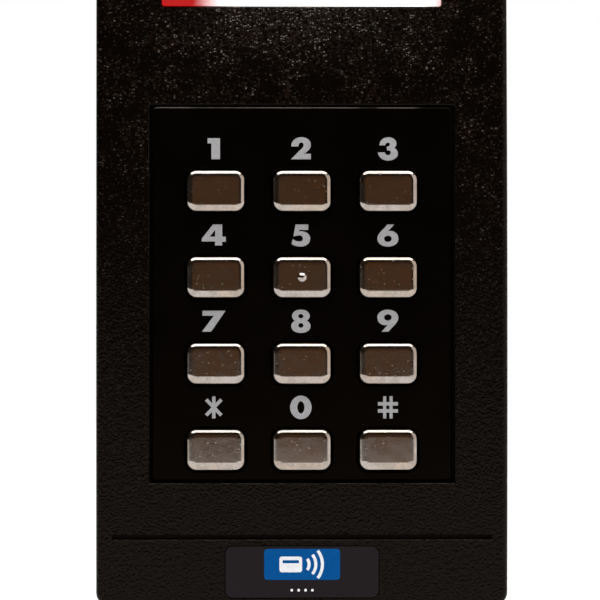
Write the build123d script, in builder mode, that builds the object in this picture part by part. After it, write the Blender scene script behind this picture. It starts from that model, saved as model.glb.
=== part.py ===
from build123d import *
import os
from math import asin, degrees, sqrt

# Keypad access reader for a wall switch box.
#
# Frame: the wall is the plane Y = 0 and the reader stands out from it towards -Y, with +Z up.
# The origin is the middle of the wall-box screw pattern. A "depth" is a distance from the wall.
# All sizes are millimetres.

# ---------------------------------------------------------------- driving dimensions

# body
body_width = 84.0
body_height = 136.0
corner_radius = 3.0
face_radius = 900.0
apex_above_bottom = 43.0
recess_depth_at_apex = 2.0
front_edge_radius = 1.1
side_draft = 0.6
skirt_wall = 1.6
ledge_width = 2.0
front_wall = 2.2
rim_depth = 1.2

# stack behind the keypad, from the wall outwards
plate_thickness = 2.4
screw_head_room = 3.2
cover_thickness = 2.0
seal_thickness = 0.8
room_behind_main_board = 4.0
main_board_thickness = 1.6
room_between_boards = 4.1
keypad_board_thickness = 1.2
mat_thickness = 0.8  # a key travels this far, until its plunger meets the board
dome_height = 1.5
flange_thickness = 0.9
flange_clearance = 0.1
floor_thickness = 1.6
tape_thickness = 0.15
panel_thickness = 1.45
key_stands_proud = 2.2

# keys
key_width = 11.75
key_height = 8.3
key_corner_radius = 2.0
key_edge_width = 1.62  # the rounded edge of the crown is wider than it is deep
key_edge_depth = 0.8
key_wall = 1.5
key_roof = 1.6
key_pitch_x = 17.5
key_pitch_z = 17.5
key_gap = 0.42
flange_overhang = 1.15
pip_radius = 0.9
pip_height = 0.45
plunger_radius = 2.4
key_names = [["1", "2", "3"], ["4", "5", "6"], ["7", "8", "9"], ["star", "0", "hash"]]

# keypad recess and panel
recess_above_bottom = 25.15
recess_side_margin = 7.65
recess_top_margin = 13.42
recess_bottom_margin = 2.6
recess_corner_radius = 0.25
panel_gap = 0.5
panel_corner_radius = 1.3
panel_edge_radius = 0.35
opening_chamfer = 0.15
tape_margin = 0.5
floor_border = 2.0

# light bar
light_bar_width = 56.6
light_bar_height = 6.8
light_bar_below_top = 7.0
light_bar_corner_radius = 0.4
light_bar_proud = 0.15
light_bar_gap = 0.15
light_opening_chamfer = 0.35
edge_break = 0.15  # on the front edges of the keypad recess and of the groove
light_flange = 1.4
light_flange_thickness = 1.2
chamber_wall = 1.5
led_count = 6
led_size = (3.5, 2.8, 1.2)
led_dome_radius = 1.2
led_dome_height = 0.4

# groove and label
groove_above_bottom = 14.2
groove_length = 76.9
groove_width = 0.95
groove_depth = 1.3
label_above_bottom = 7.15
label_width = 31.0
label_height = 10.4
label_corner_radius = 1.4
label_thickness = 0.35
label_recess = 0.4

# screw bay under the sealed cavity
bay_height = 8.6
bay_corner_radius = 1.0

# wall plate
gang_spacing = 83.3
round_box_spacing = 60.0
wall_screw_radius = 2.2
wall_slot_length = 7.0
cable_opening = 40.0
cable_opening_radius = 4.0
plate_gap = 0.6
hook_spacing = 44.0
hook_width = 8.0
hook_thickness = 2.0
hook_lip = 2.0
hook_below_cavity_top = 5.6
hook_end_gap = 0.4
hook_room = 1.0
hook_drop = 2.5
pocket_wall = 1.0
lug_width = 12.0
lug_wall = 2.2
lug_gap = 0.3
gasket_inset = 0.3

# fasteners
snug = 0.02
clearance = 0.2
screw_radius = 1.3
screw_head_radius = 2.6
screw_head_height = 1.5
screw_bite = 7.0
screw_recess_length = 3.0
screw_recess_width = 0.8
screw_recess_depth = 0.9
head_edge_radius = 0.5
boss_radius = 3.4
small_screw_radius = 0.9
small_head_radius = 1.7
small_head_height = 1.1
small_recess_length = 2.0
small_recess_width = 0.5
small_boss_radius = 2.1
boss_margin = 0.4
board_boss_x = 16.0
board_boss_gap = 2.5
security_radius = 1.5
security_head_radius = 2.8
security_head_height = 1.7
security_depth = 8.0
security_seat = 2.0
security_boss_height = 4.0
security_socket_radius = 1.4
security_pin_radius = 0.4
security_socket_depth = 1.0
insert_radius = 2.3
insert_length = 5.0

# electronics
terminal_poles = 10
terminal_pitch = 3.5
terminal_height = 7.6
terminal_length = 8.6
terminal_z = 14.0
terminal_end_wall = 0.75
terminal_bore = 1.0
terminal_bore_length = 5.0
terminal_bore_below_board = 2.6
clamp_well_depth = 4.0
clamp_well_wall = 0.5
clamp_above_middle = 0.8
clamp_screw_inset = 1.0
clamp_slot = (2.0, 0.5, 0.7)
terminal_window_side = 1.0
terminal_window_above = 1.0
terminal_window_below = 8.0
coil_band = 1.6
coil_thickness = 0.6
coil_side_margin = 3.0
coil_corner_radius = 3.0
board_gap = 0.6
board_corner_radius = 1.5
keypad_board_border = 3.1
mat_rim = 1.2
mat_corner_radius = 1.5
web_thickness = 0.35
dome_foot_spread = 1.8
dome_top_spread = 0.9

# chips and modules, as width, height and thickness, and their (x, z) places
processor_size = (12.0, 12.0, 1.4)
processor_place = (-9.0, 4.0)
radio_chip_size = (7.0, 7.0, 0.9)
radio_chip_place = (12.0, 4.0)
crystal_size = (5.0, 3.2, 1.2)
crystal_place = (12.0, -6.0)
regulator_size = (6.6, 6.1, 2.3)
regulator_place = (-24.0, -30.0)
sensor_size = (4.0, 3.0, 1.8)
sensor_place = (24.0, -32.0)
sensor_window_radius = 2.0
header_width = 22.0
header_height = 5.0
header_below_grid = 14.0
buzzer_radius = 6.0
buzzer_height = 3.5
buzzer_port_radius = 1.0
buzzer_port_depth = 1.0
capacitor_radius = 2.4
capacitor_height = 5.4
capacitor_x = 25.0
chip_edge = 0.2
can_edge_radius = 0.4

# ---------------------------------------------------------------- depths that follow

cover_back = plate_thickness + screw_head_room
cover_front = cover_back + cover_thickness
ledge_depth = cover_front + seal_thickness
board_back = cover_front + room_behind_main_board
board_front = board_back + main_board_thickness
keypad_board_back = board_front + room_between_boards
keypad_board_front = keypad_board_back + keypad_board_thickness
mat_front = keypad_board_front + mat_thickness
dome_front = mat_front + dome_height
flange_front = dome_front + flange_thickness
floor_back = flange_front + flange_clearance
floor_front = floor_back + floor_thickness
panel_back = floor_front + tape_thickness
panel_front = panel_back + panel_thickness
key_front = panel_front + key_stands_proud
apex_depth = panel_front + recess_depth_at_apex

# ---------------------------------------------------------------- heights that follow

bottom = -body_height / 2
top = body_height / 2
apex_z = bottom + apex_above_bottom
recess_width = 2 * key_pitch_x + key_width + 2 * recess_side_margin
recess_height = 3 * key_pitch_z + key_height + recess_top_margin + recess_bottom_margin
recess_z = bottom + recess_above_bottom + recess_height / 2
first_row_z = recess_z + recess_height / 2 - recess_top_margin - key_height / 2
key_grid_z = first_row_z - 1.5 * key_pitch_z
light_bar_z = top - light_bar_below_top - light_bar_height / 2
label_z = bottom + label_above_bottom
groove_z = bottom + groove_above_bottom

# inside of the skirt, of the sealed cavity and of the screw bay below it
inner_corner_radius = corner_radius / 2
skirt_inner_width = body_width - 2 * skirt_wall
cavity_width = skirt_inner_width - 2 * ledge_width
cavity_top = top - skirt_wall - ledge_width
bay_bottom = bottom + skirt_wall
bay_top = bay_bottom + bay_height
pocket_bottom = bay_top + skirt_wall
pocket_top = top - skirt_wall
cavity_bottom = pocket_bottom + ledge_width
cavity_height = cavity_top - cavity_bottom
cavity_z = (cavity_top + cavity_bottom) / 2
pocket_height = pocket_top - pocket_bottom
pocket_z = (pocket_top + pocket_bottom) / 2

# keypad board and mat
keypad_board_width = 2 * key_pitch_x + key_width + 2 * flange_overhang + 4 * keypad_board_border
keypad_board_height = 3 * key_pitch_z + key_height + 2 * flange_overhang + 2 * keypad_board_border
mat_width = keypad_board_width - 4 * small_boss_radius - 2 * clearance
mat_height = keypad_board_height - 2 * clearance

key_columns = [(column - 1) * key_pitch_x for column in range(3)]
key_rows = [first_row_z - row * key_pitch_z for row in range(4)]
key_places = {
    name: (key_columns[column], key_rows[row])
    for row, names in enumerate(key_names)
    for column, name in enumerate(names)
}

# screw places, as (x, z)
cover_boss_x = cavity_width / 2 - boss_radius - boss_margin
cover_boss_places = [
    (side * cover_boss_x, z)
    for side in (-1, 1)
    for z in (cavity_top - boss_radius - boss_margin, cavity_bottom + boss_radius + boss_margin)
]
board_boss_high_z = (
    recess_z + recess_height / 2 + floor_border + small_boss_radius + board_boss_gap
)
board_boss_low_z = (key_grid_z - keypad_board_height / 2 + cavity_bottom) / 2
board_boss_places = [
    (side * board_boss_x, z) for side in (-1, 1) for z in (board_boss_high_z, board_boss_low_z)
]
keypad_boss_x = keypad_board_width / 2 - small_boss_radius
keypad_boss_z = keypad_board_height / 2 - small_boss_radius
keypad_boss_places = [
    (side * keypad_boss_x, key_grid_z + up * keypad_boss_z) for side in (-1, 1) for up in (-1, 1)
]
hook_places = [
    (side * hook_spacing / 2, cavity_top - hook_below_cavity_top) for side in (-1, 1)
]


# ---------------------------------------------------------------- helpers


def front_plane(depth, x=0.0, z=0.0):
    """A plane parallel to the wall that faces the room, so local x is X and local y is Z."""
    return Plane(origin=(x, -depth, z), x_dir=(1, 0, 0), z_dir=(0, -1, 0))


def face_depth(z, inset=0.0):
    """Depth of the curved front face at a height, or of the surface inset behind it."""
    radius = face_radius - inset
    return apex_depth - inset - radius + sqrt(radius**2 - (z - apex_z) ** 2)


def tangent_plane(z):
    """The plane that touches the curved front face at a height, facing the room."""
    tilt = degrees(asin((z - apex_z) / face_radius))
    return front_plane(face_depth(z), 0, z).rotated((-tilt, 0, 0))


def slab(width, height, start, end, x=0.0, z=0.0, radius=0.0, mode=Mode.ADD):
    """A plate between two depths, added to the part that is being built."""
    with BuildSketch(front_plane(start, x, z)) as outline:
        if radius:
            RectangleRounded(width, height, radius)
        else:
            Rectangle(width, height)
    extrude(outline.sketch, amount=end - start, mode=mode)


def posts(radius, start, end, places, mode=Mode.ADD):
    """Round posts or holes between two depths, one at each (x, z) place."""
    with BuildSketch(front_plane(start)) as rounds:
        with Locations(*places):
            Circle(radius)
    extrude(rounds.sketch, amount=end - start, mode=mode)


def front_edges(cut_edges, far_z):
    """The edges that a cut leaves on the curved face, given its height furthest from the apex."""
    return cut_edges.filter_by_position(Axis.Y, -apex_depth, clearance - face_depth(far_z))


def key_openings(start, end):
    """Cuts the twelve key openings between two depths."""
    with BuildSketch(front_plane(start)) as openings:
        with Locations(*key_places.values()):
            RectangleRounded(key_width + 2 * key_gap, key_height + 2 * key_gap,
                             key_corner_radius + key_gap)
    extrude(openings.sketch, amount=end - start, mode=Mode.SUBTRACT)


def behind_face(inset):
    """Keeps only what lies behind the curved front face, inset by a distance."""
    margin = 10.0
    back = 2 * margin
    low, high = bottom - margin, top + margin
    with BuildSketch(Plane.YZ) as side:
        with BuildLine():
            low_corner = (-face_depth(low, inset), low)
            high_corner = (-face_depth(high, inset), high)
            ThreePointArc(low_corner, (-(apex_depth - inset), apex_z), high_corner)
            Polyline(high_corner, (back, high), (back, low), low_corner)
        make_face()
    extrude(side.sketch, amount=body_width, both=True, mode=Mode.INTERSECT)


def save(piece, name):
    """Labels a finished piece and writes its STEP file."""
    piece.part.label = name
    export_step(piece.part, f"parts/{name}.step")


os.makedirs("parts", exist_ok=True)

# ---------------------------------------------------------------- front housing

with BuildPart() as cavity:
    slab(cavity_width, cavity_height, 0, apex_depth, z=cavity_z, radius=inner_corner_radius)
    slab(skirt_inner_width, bay_height, 0, apex_depth, z=(bay_top + bay_bottom) / 2,
         radius=bay_corner_radius)
    behind_face(front_wall)
    slab(skirt_inner_width, pocket_height, 0, ledge_depth, z=pocket_z,
         radius=inner_corner_radius)
    slab(skirt_inner_width, pocket_top - bay_bottom, 0, cover_back,
         z=(pocket_top + bay_bottom) / 2, radius=inner_corner_radius)

# what stands on the inside of the front wall: screw bosses, and the block of the keypad recess
with BuildPart() as inner_ribs:
    posts(boss_radius, cover_front, apex_depth, cover_boss_places)
    posts(small_boss_radius, board_front, apex_depth, board_boss_places)
    slab(recess_width + 2 * floor_border, recess_height + 2 * floor_border,
         floor_back, apex_depth, z=recess_z)
    behind_face(front_wall / 2)

with BuildPart() as front_housing:
    with BuildSketch(front_plane(rim_depth)):
        RectangleRounded(body_width, body_height, corner_radius)
    extrude(amount=apex_depth, taper=side_draft)
    behind_face(0)
    fillet(faces().sort_by(Axis.Y)[0].edges(), front_edge_radius)
    add(cavity.part, mode=Mode.SUBTRACT)

    add(inner_ribs.part)

    # keypad recess and the key openings in its floor
    slab(recess_width, recess_height, floor_front, apex_depth + 1,
         z=recess_z, radius=recess_corner_radius, mode=Mode.SUBTRACT)
    chamfer(front_edges(edges(Select.LAST), recess_z + recess_height / 2), edge_break)
    key_openings(floor_back, floor_front)

    # light bar opening
    slab(light_bar_width + 2 * light_bar_gap, light_bar_height + 2 * light_bar_gap,
         board_front, apex_depth + 1, z=light_bar_z,
         radius=light_bar_corner_radius + light_bar_gap, mode=Mode.SUBTRACT)
    chamfer(front_edges(edges(Select.LAST), light_bar_z + light_bar_height / 2),
            light_opening_chamfer)

    # groove and label recess follow the curved face
    with BuildSketch(tangent_plane(groove_z)):
        Rectangle(groove_length, groove_width)
    extrude(amount=groove_depth, both=True, mode=Mode.SUBTRACT)
    chamfer(front_edges(edges(Select.LAST), groove_z), edge_break)
    with BuildSketch(tangent_plane(label_z)):
        RectangleRounded(label_width + 2 * clearance, label_height + 2 * clearance,
                         label_corner_radius + clearance)
    extrude(amount=label_recess, both=True, mode=Mode.SUBTRACT)

    # pilot holes of the rear cover and main board, and the bosses of the keypad board
    posts(screw_radius + snug, 0, cover_front + screw_bite, cover_boss_places,
          mode=Mode.SUBTRACT)
    posts(small_screw_radius + snug, 0, board_front + screw_bite, board_boss_places,
          mode=Mode.SUBTRACT)
    posts(small_boss_radius, keypad_board_front, floor_back, keypad_boss_places)
    posts(small_screw_radius + snug, 0, floor_back, keypad_boss_places, mode=Mode.SUBTRACT)

    # security screw boss, its seat and hole through the bottom wall
    with BuildSketch(Plane.XY.offset(bottom + skirt_wall / 2)):
        with Locations((0, -security_depth)):
            Circle(security_head_radius + clearance + skirt_wall)
    extrude(amount=security_boss_height - skirt_wall / 2)
    with BuildSketch(Plane.XY.offset(bottom - 1)):
        with Locations((0, -security_depth)):
            Circle(security_radius + clearance)
    extrude(amount=security_boss_height + 2, mode=Mode.SUBTRACT)
    with BuildSketch(Plane.XY.offset(bottom - 1)):
        with Locations((0, -security_depth)):
            Circle(security_head_radius + clearance)
    extrude(amount=1 + security_seat, mode=Mode.SUBTRACT)
save(front_housing, "front_housing")

# ---------------------------------------------------------------- keypad panel and its tape

panel_width = recess_width - 2 * panel_gap
panel_height = recess_height - 2 * panel_gap

with BuildPart() as keypad_panel:
    slab(panel_width, panel_height, panel_back, panel_front, z=recess_z,
         radius=panel_corner_radius)
    fillet(faces().sort_by(Axis.Y)[0].edges(), panel_edge_radius)
    key_openings(panel_back, panel_front)
    rims = faces().sort_by(Axis.Y)[0].inner_wires()
    chamfer([edge for rim in rims for edge in rim.edges()], opening_chamfer)
save(keypad_panel, "keypad_panel")

with BuildPart() as panel_tape:
    slab(panel_width - 2 * tape_margin, panel_height - 2 * tape_margin, floor_front,
         panel_back, z=recess_z, radius=panel_corner_radius)
    key_openings(floor_front, panel_back)
save(panel_tape, "panel_tape")

# ---------------------------------------------------------------- keys and their plungers

plug_width = key_width - 2 * key_wall
plug_height = key_height - 2 * key_wall
plug_radius = key_corner_radius / 2
pip_sphere_radius = (pip_radius**2 + pip_height**2) / (2 * pip_height)

crown_depth = 2 * key_edge_depth

# a round edge, flattened to an elliptical one
with BuildPart() as key_crown:
    slab(key_width, key_height, 0, 2 * key_edge_width, radius=key_corner_radius)
    fillet(faces().sort_by(Axis.Y)[0].edges(), key_edge_width)
    scale(by=(1, key_edge_depth / key_edge_width, 1))

for key_name, (key_x, key_z) in key_places.items():
    with BuildPart() as key_cap:
        with Locations((key_x, crown_depth - key_front, key_z)):
            add(key_crown.part)
        slab(key_width, key_height, flange_front, key_front - crown_depth, x=key_x, z=key_z,
             radius=key_corner_radius)
        if key_name == "5":
            with Locations(front_plane(key_front + pip_height - pip_sphere_radius, key_x, key_z)):
                Sphere(pip_sphere_radius)
        slab(key_width + 2 * flange_overhang, key_height + 2 * flange_overhang,
             dome_front, flange_front, x=key_x, z=key_z,
             radius=key_corner_radius + flange_overhang)
        slab(plug_width, plug_height, dome_front, key_front - key_roof, x=key_x, z=key_z,
             radius=plug_radius, mode=Mode.SUBTRACT)
    save(key_cap, f"key_{key_name}")

    with BuildPart() as plunger:
        slab(plug_width - 2 * snug, plug_height - 2 * snug, dome_front,
             key_front - key_roof - snug, x=key_x, z=key_z, radius=plug_radius)
        posts(plunger_radius, mat_front, dome_front, [(key_x, key_z)])
    save(plunger, f"plunger_{key_name}")

# ---------------------------------------------------------------- keypad mat and keypad board

dome_base_radius = plunger_radius + dome_foot_spread
dome_top_radius = plunger_radius + dome_top_spread

with BuildPart() as keypad_mat:
    slab(mat_width, mat_height, keypad_board_front, floor_back, z=key_grid_z,
         radius=mat_corner_radius)
    slab(mat_width - 2 * mat_rim, mat_height - 2 * mat_rim, mat_front, floor_back,
         z=key_grid_z, radius=mat_corner_radius / 2, mode=Mode.SUBTRACT)
    with Locations(*[front_plane(mat_front, x, z) for x, z in key_places.values()]):
        Cone(dome_base_radius, dome_top_radius, dome_height,
             align=(Align.CENTER, Align.CENTER, Align.MIN))
    with Locations(*[front_plane(mat_front, x, z) for x, z in key_places.values()]):
        Cone(dome_base_radius - web_thickness, dome_top_radius - web_thickness,
             dome_height - web_thickness, align=(Align.CENTER, Align.CENTER, Align.MIN),
             mode=Mode.SUBTRACT)
    posts(dome_base_radius - web_thickness, keypad_board_front, mat_front,
          key_places.values(), mode=Mode.SUBTRACT)
    posts(plunger_radius + clearance, mat_front, dome_front, key_places.values(),
          mode=Mode.SUBTRACT)
save(keypad_mat, "keypad_mat")

with BuildPart() as keypad_board:
    slab(keypad_board_width, keypad_board_height, keypad_board_back, keypad_board_front,
         z=key_grid_z, radius=board_corner_radius)
    posts(small_screw_radius + clearance, keypad_board_back, keypad_board_front,
          keypad_boss_places, mode=Mode.SUBTRACT)
save(keypad_board, "keypad_board")


def small_screws(seat, bite, places):
    """Small pan head screws driven forwards into bosses, heads behind the seat."""
    posts(small_head_radius, seat - small_head_height, seat, places)
    posts(small_screw_radius, seat, seat + bite, places)
    with BuildSketch(front_plane(seat - small_head_height)) as cross:
        with Locations(*places):
            Rectangle(small_recess_length, small_recess_width)
            Rectangle(small_recess_width, small_recess_length)
    extrude(cross.sketch, amount=small_head_height / 2, mode=Mode.SUBTRACT)


with BuildPart() as keypad_board_screws:
    small_screws(keypad_board_back, floor_back - keypad_board_back - clearance,
                 keypad_boss_places)
save(keypad_board_screws, "keypad_board_screws")

# ---------------------------------------------------------------- light bar

lens_flange_width = light_bar_width + 2 * light_flange
lens_flange_height = light_bar_height + 2 * light_flange
lens_flange_top = light_bar_z + lens_flange_height / 2
lens_back = face_depth(lens_flange_top, front_wall) - snug - light_flange_thickness

with BuildPart() as lens_flange_shape:
    slab(lens_flange_width, lens_flange_height, lens_back, apex_depth, z=light_bar_z)
    behind_face(front_wall + snug)

with BuildPart() as light_bar:
    slab(light_bar_width, light_bar_height, lens_back, apex_depth + 1, z=light_bar_z,
         radius=light_bar_corner_radius)
    behind_face(-light_bar_proud)
    add(lens_flange_shape.part)
save(light_bar, "light_bar")

with BuildPart() as light_chamber:
    slab(lens_flange_width, lens_flange_height, board_front, lens_back, z=light_bar_z)
    slab(lens_flange_width - 2 * chamber_wall, lens_flange_height - 2 * chamber_wall,
         board_front, lens_back, z=light_bar_z, mode=Mode.SUBTRACT)
save(light_chamber, "light_chamber")

led_width, led_height, led_thickness = led_size
led_pitch = (light_bar_width - 2 * chamber_wall) / led_count
led_places = [((n - (led_count - 1) / 2) * led_pitch, light_bar_z) for n in range(led_count)]

with BuildPart() as status_leds:
    with BuildSketch(front_plane(board_front)):
        with Locations(*led_places):
            Rectangle(led_width, led_height)
    extrude(amount=led_thickness)
    posts(led_dome_radius, board_front + led_thickness,
          board_front + led_thickness + led_dome_height, led_places)
save(status_leds, "status_leds")

# ---------------------------------------------------------------- label

with BuildPart() as name_label:
    with BuildSketch(tangent_plane(label_z).offset(-label_recess)):
        RectangleRounded(label_width, label_height, label_corner_radius)
    extrude(amount=label_thickness)
save(name_label, "name_label")

# ---------------------------------------------------------------- main board and what it carries

notch = 2 * boss_radius + boss_margin + board_gap
with BuildPart() as main_board:
    slab(cavity_width - 2 * board_gap, cavity_height - 2 * board_gap, board_back, board_front,
         z=cavity_z)
    for side in (-1, 1):
        for edge_z in (cavity_top, cavity_bottom):
            slab(2 * notch, 2 * notch, board_back, board_front,
                 x=side * cavity_width / 2, z=edge_z, mode=Mode.SUBTRACT)
    posts(small_screw_radius + clearance, board_back, board_front, board_boss_places,
          mode=Mode.SUBTRACT)
save(main_board, "main_board")

with BuildPart() as board_screws:
    small_screws(board_back, main_board_thickness + screw_bite - 1, board_boss_places)
save(board_screws, "board_screws")

coil_width = cavity_width - 2 * board_gap - 2 * coil_side_margin
coil_top = board_boss_high_z + small_boss_radius + board_boss_gap
coil_bottom = board_boss_low_z + small_boss_radius + board_boss_gap
coil_height = coil_top - coil_bottom
coil_z = (coil_top + coil_bottom) / 2
with BuildPart() as antenna_coil:
    slab(coil_width, coil_height, board_front, board_front + coil_thickness, z=coil_z,
         radius=coil_corner_radius)
    slab(coil_width - 2 * coil_band, coil_height - 2 * coil_band, board_front,
         board_front + coil_thickness, z=coil_z, radius=coil_corner_radius - coil_band,
         mode=Mode.SUBTRACT)
save(antenna_coil, "antenna_coil")


def chip(size, place, radius=0.0, behind=False):
    """A flat component on the front of the main board, or on its back."""
    width, height, thickness = size
    start = board_back - thickness if behind else board_front
    slab(width, height, start, start + thickness, x=place[0], z=place[1], radius=radius)


with BuildPart() as processor_chip:
    chip(processor_size, processor_place)
    chamfer(faces().sort_by(Axis.Y)[0].edges(), chip_edge)
save(processor_chip, "processor_chip")

with BuildPart() as radio_chip:
    chip(radio_chip_size, radio_chip_place)
save(radio_chip, "radio_chip")

with BuildPart() as crystal:
    chip(crystal_size, crystal_place, radius=crystal_size[1] / 5)
save(crystal, "crystal")

with BuildPart() as board_header:
    slab(header_width, header_height, board_front, keypad_board_back,
         z=key_grid_z - header_below_grid)
save(board_header, "board_header")

buzzer_z = coil_top - coil_band - board_gap - buzzer_radius
buzzer_front = board_front + buzzer_height
with BuildPart() as buzzer:
    posts(buzzer_radius, board_front, buzzer_front, [(0, buzzer_z)])
    fillet(faces().sort_by(Axis.Y)[0].edges(), can_edge_radius)
    posts(buzzer_port_radius, buzzer_front - buzzer_port_depth, buzzer_front,
          [(0, buzzer_z)], mode=Mode.SUBTRACT)
save(buzzer, "buzzer")

with BuildPart() as power_capacitors:
    posts(capacitor_radius, board_front, board_front + capacitor_height,
          [(capacitor_x, buzzer_z), (-capacitor_x, buzzer_z)])
    fillet(faces().group_by(Axis.Y)[0].edges(), can_edge_radius)
save(power_capacitors, "power_capacitors")

with BuildPart() as voltage_regulator:
    chip(regulator_size, regulator_place, behind=True)
save(voltage_regulator, "voltage_regulator")

with BuildPart() as tamper_sensor:
    chip(sensor_size, sensor_place, behind=True)
save(tamper_sensor, "tamper_sensor")

# ---------------------------------------------------------------- terminal block

terminal_width = terminal_poles * terminal_pitch + 2 * terminal_end_wall
terminal_back = board_back - terminal_length
pole_xs = [(n - (terminal_poles - 1) / 2) * terminal_pitch for n in range(terminal_poles)]
clamp_places = [(x, terminal_z + clamp_above_middle) for x in pole_xs]
clamp_well_radius = terminal_bore + clamp_well_wall
clamp_back = terminal_back + clamp_screw_inset
clamp_front = terminal_back + clamp_well_depth

with BuildPart() as terminal_block:
    slab(terminal_width, terminal_height, terminal_back, board_back, z=terminal_z)
    chamfer(faces().sort_by(Axis.Y)[-1].edges().filter_by(Axis.X), terminal_end_wall)
    posts(clamp_well_radius, terminal_back, clamp_front, clamp_places, mode=Mode.SUBTRACT)
    with BuildSketch(Plane.XY.offset(terminal_z - terminal_height / 2)):
        with Locations(*[(x, -(board_back - terminal_bore_below_board)) for x in pole_xs]):
            Circle(terminal_bore)
    extrude(amount=terminal_bore_length, mode=Mode.SUBTRACT)
save(terminal_block, "terminal_block")

with BuildPart() as terminal_screws:
    posts(clamp_well_radius - 2 * snug, clamp_back, clamp_front, clamp_places)
    with BuildSketch(front_plane(clamp_back)):
        with Locations(*clamp_places):
            Rectangle(clamp_slot[0], clamp_slot[1])
    extrude(amount=clamp_slot[2], mode=Mode.SUBTRACT)
save(terminal_screws, "terminal_screws")

# ---------------------------------------------------------------- rear cover, its seal and screws

cover_width = skirt_inner_width - 2 * clearance
cover_height = pocket_height - 2 * clearance
hook_front = board_back - 2 * pocket_wall
hook_pocket_width = hook_width + 2 * hook_room
hook_height = hook_thickness + hook_lip
hook_pocket_height = hook_height + hook_drop + 2 * hook_room
hook_pocket_drop = (hook_drop - hook_lip) / 2
hook_entry_height = hook_height + hook_room + hook_room
terminal_window_height = terminal_height + terminal_window_above + terminal_window_below
terminal_window_z = terminal_z + (terminal_window_above - terminal_window_below) / 2

with BuildPart() as rear_cover:
    slab(cover_width, cover_height, cover_back, cover_front, z=pocket_z,
         radius=inner_corner_radius)
    for hook_x, hook_z in hook_places:
        pocket_middle = hook_z - hook_pocket_drop
        entry_middle = pocket_middle - (hook_pocket_height - hook_entry_height) / 2
        slab(hook_pocket_width + 2 * pocket_wall, hook_pocket_height + 2 * pocket_wall,
             cover_front, hook_front + pocket_wall, x=hook_x, z=pocket_middle)
        slab(hook_pocket_width, hook_pocket_height, cover_front, hook_front,
             x=hook_x, z=pocket_middle, mode=Mode.SUBTRACT)
        slab(hook_pocket_width, hook_entry_height, cover_back, cover_front,
             x=hook_x, z=entry_middle, mode=Mode.SUBTRACT)
    slab(terminal_width + 2 * terminal_window_side, terminal_window_height, cover_back,
         cover_front, z=terminal_window_z, radius=bay_corner_radius, mode=Mode.SUBTRACT)
    posts(screw_radius + clearance, cover_back, cover_front, cover_boss_places,
          mode=Mode.SUBTRACT)
    posts(sensor_window_radius, cover_back, cover_front, [sensor_place], mode=Mode.SUBTRACT)
save(rear_cover, "rear_cover")

with BuildPart() as cover_seal:
    slab(cover_width, cover_height, cover_front, ledge_depth, z=pocket_z,
         radius=inner_corner_radius)
    slab(cavity_width + 2 * clearance, cavity_height + 2 * clearance, cover_front, ledge_depth,
         z=cavity_z, radius=inner_corner_radius, mode=Mode.SUBTRACT)
save(cover_seal, "cover_seal")

with BuildPart() as cover_screws:
    posts(screw_head_radius, cover_back - screw_head_height, cover_back, cover_boss_places)
    fillet(faces().group_by(Axis.Y)[-1].edges(), head_edge_radius)
    posts(screw_radius, cover_back, cover_front + screw_bite - clearance, cover_boss_places)
    with BuildSketch(front_plane(cover_back - screw_head_height)):
        with Locations(*cover_boss_places):
            Rectangle(screw_recess_length, screw_recess_width)
            Rectangle(screw_recess_width, screw_recess_length)
    extrude(amount=screw_recess_depth, mode=Mode.SUBTRACT)
save(cover_screws, "cover_screws")

# ---------------------------------------------------------------- wall plate, insert, security screw

plate_width = skirt_inner_width - 2 * plate_gap
plate_height = body_height - 2 * skirt_wall - 2 * plate_gap
lug_bottom = bottom + security_boss_height + lug_gap
lug_height = insert_length + clearance
lug_front = security_depth + insert_radius + lug_wall
hook_end = hook_front - hook_end_gap

with BuildPart() as wall_plate:
    slab(plate_width, plate_height, 0, plate_thickness, radius=inner_corner_radius)
    slab(cable_opening, cable_opening, 0, plate_thickness, radius=cable_opening_radius,
         mode=Mode.SUBTRACT)
    with BuildSketch(front_plane(0)):
        with Locations((0, gang_spacing / 2), (0, -gang_spacing / 2)):
            SlotOverall(wall_slot_length, 2 * wall_screw_radius, rotation=90)
        with Locations((-round_box_spacing / 2, 0), (round_box_spacing / 2, 0)):
            SlotOverall(wall_slot_length, 2 * wall_screw_radius)
    extrude(amount=plate_thickness, mode=Mode.SUBTRACT)
    for hook_x, hook_z in hook_places:
        slab(hook_width, hook_thickness, plate_thickness, hook_end, x=hook_x, z=hook_z)
        slab(hook_width, hook_height, cover_front + clearance, hook_end,
             x=hook_x, z=hook_z + hook_lip / 2)
    slab(lug_width, lug_height, plate_thickness, lug_front, z=lug_bottom + lug_height / 2)
    with BuildSketch(Plane.XY.offset(lug_bottom)):
        with Locations((0, -security_depth)):
            Circle(insert_radius + snug)
    extrude(amount=lug_height, mode=Mode.SUBTRACT)
save(wall_plate, "wall_plate")

with BuildPart() as screw_insert:
    with BuildSketch(Plane.XY.offset(lug_bottom)):
        with Locations((0, -security_depth)):
            Circle(insert_radius)
            Circle(security_radius + snug, mode=Mode.SUBTRACT)
    extrude(amount=insert_length)
save(screw_insert, "screw_insert")

security_head_seat = bottom + security_seat
with BuildPart() as security_screw:
    with BuildSketch(Plane.XY.offset(security_head_seat - security_head_height)):
        with Locations((0, -security_depth)):
            Circle(security_head_radius)
    extrude(amount=security_head_height)
    fillet(faces().sort_by(Axis.Z)[0].edges(), head_edge_radius)
    with BuildSketch(Plane.XY.offset(security_head_seat)):
        with Locations((0, -security_depth)):
            Circle(security_radius)
    extrude(amount=lug_bottom + insert_length - security_head_seat)
    with BuildSketch(Plane.XY.offset(security_head_seat - security_head_height)):
        with Locations((0, -security_depth)):
            RegularPolygon(security_socket_radius, 6)
            Circle(security_pin_radius, mode=Mode.SUBTRACT)
    extrude(amount=security_socket_depth, mode=Mode.SUBTRACT)
save(security_screw, "security_screw")

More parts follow.
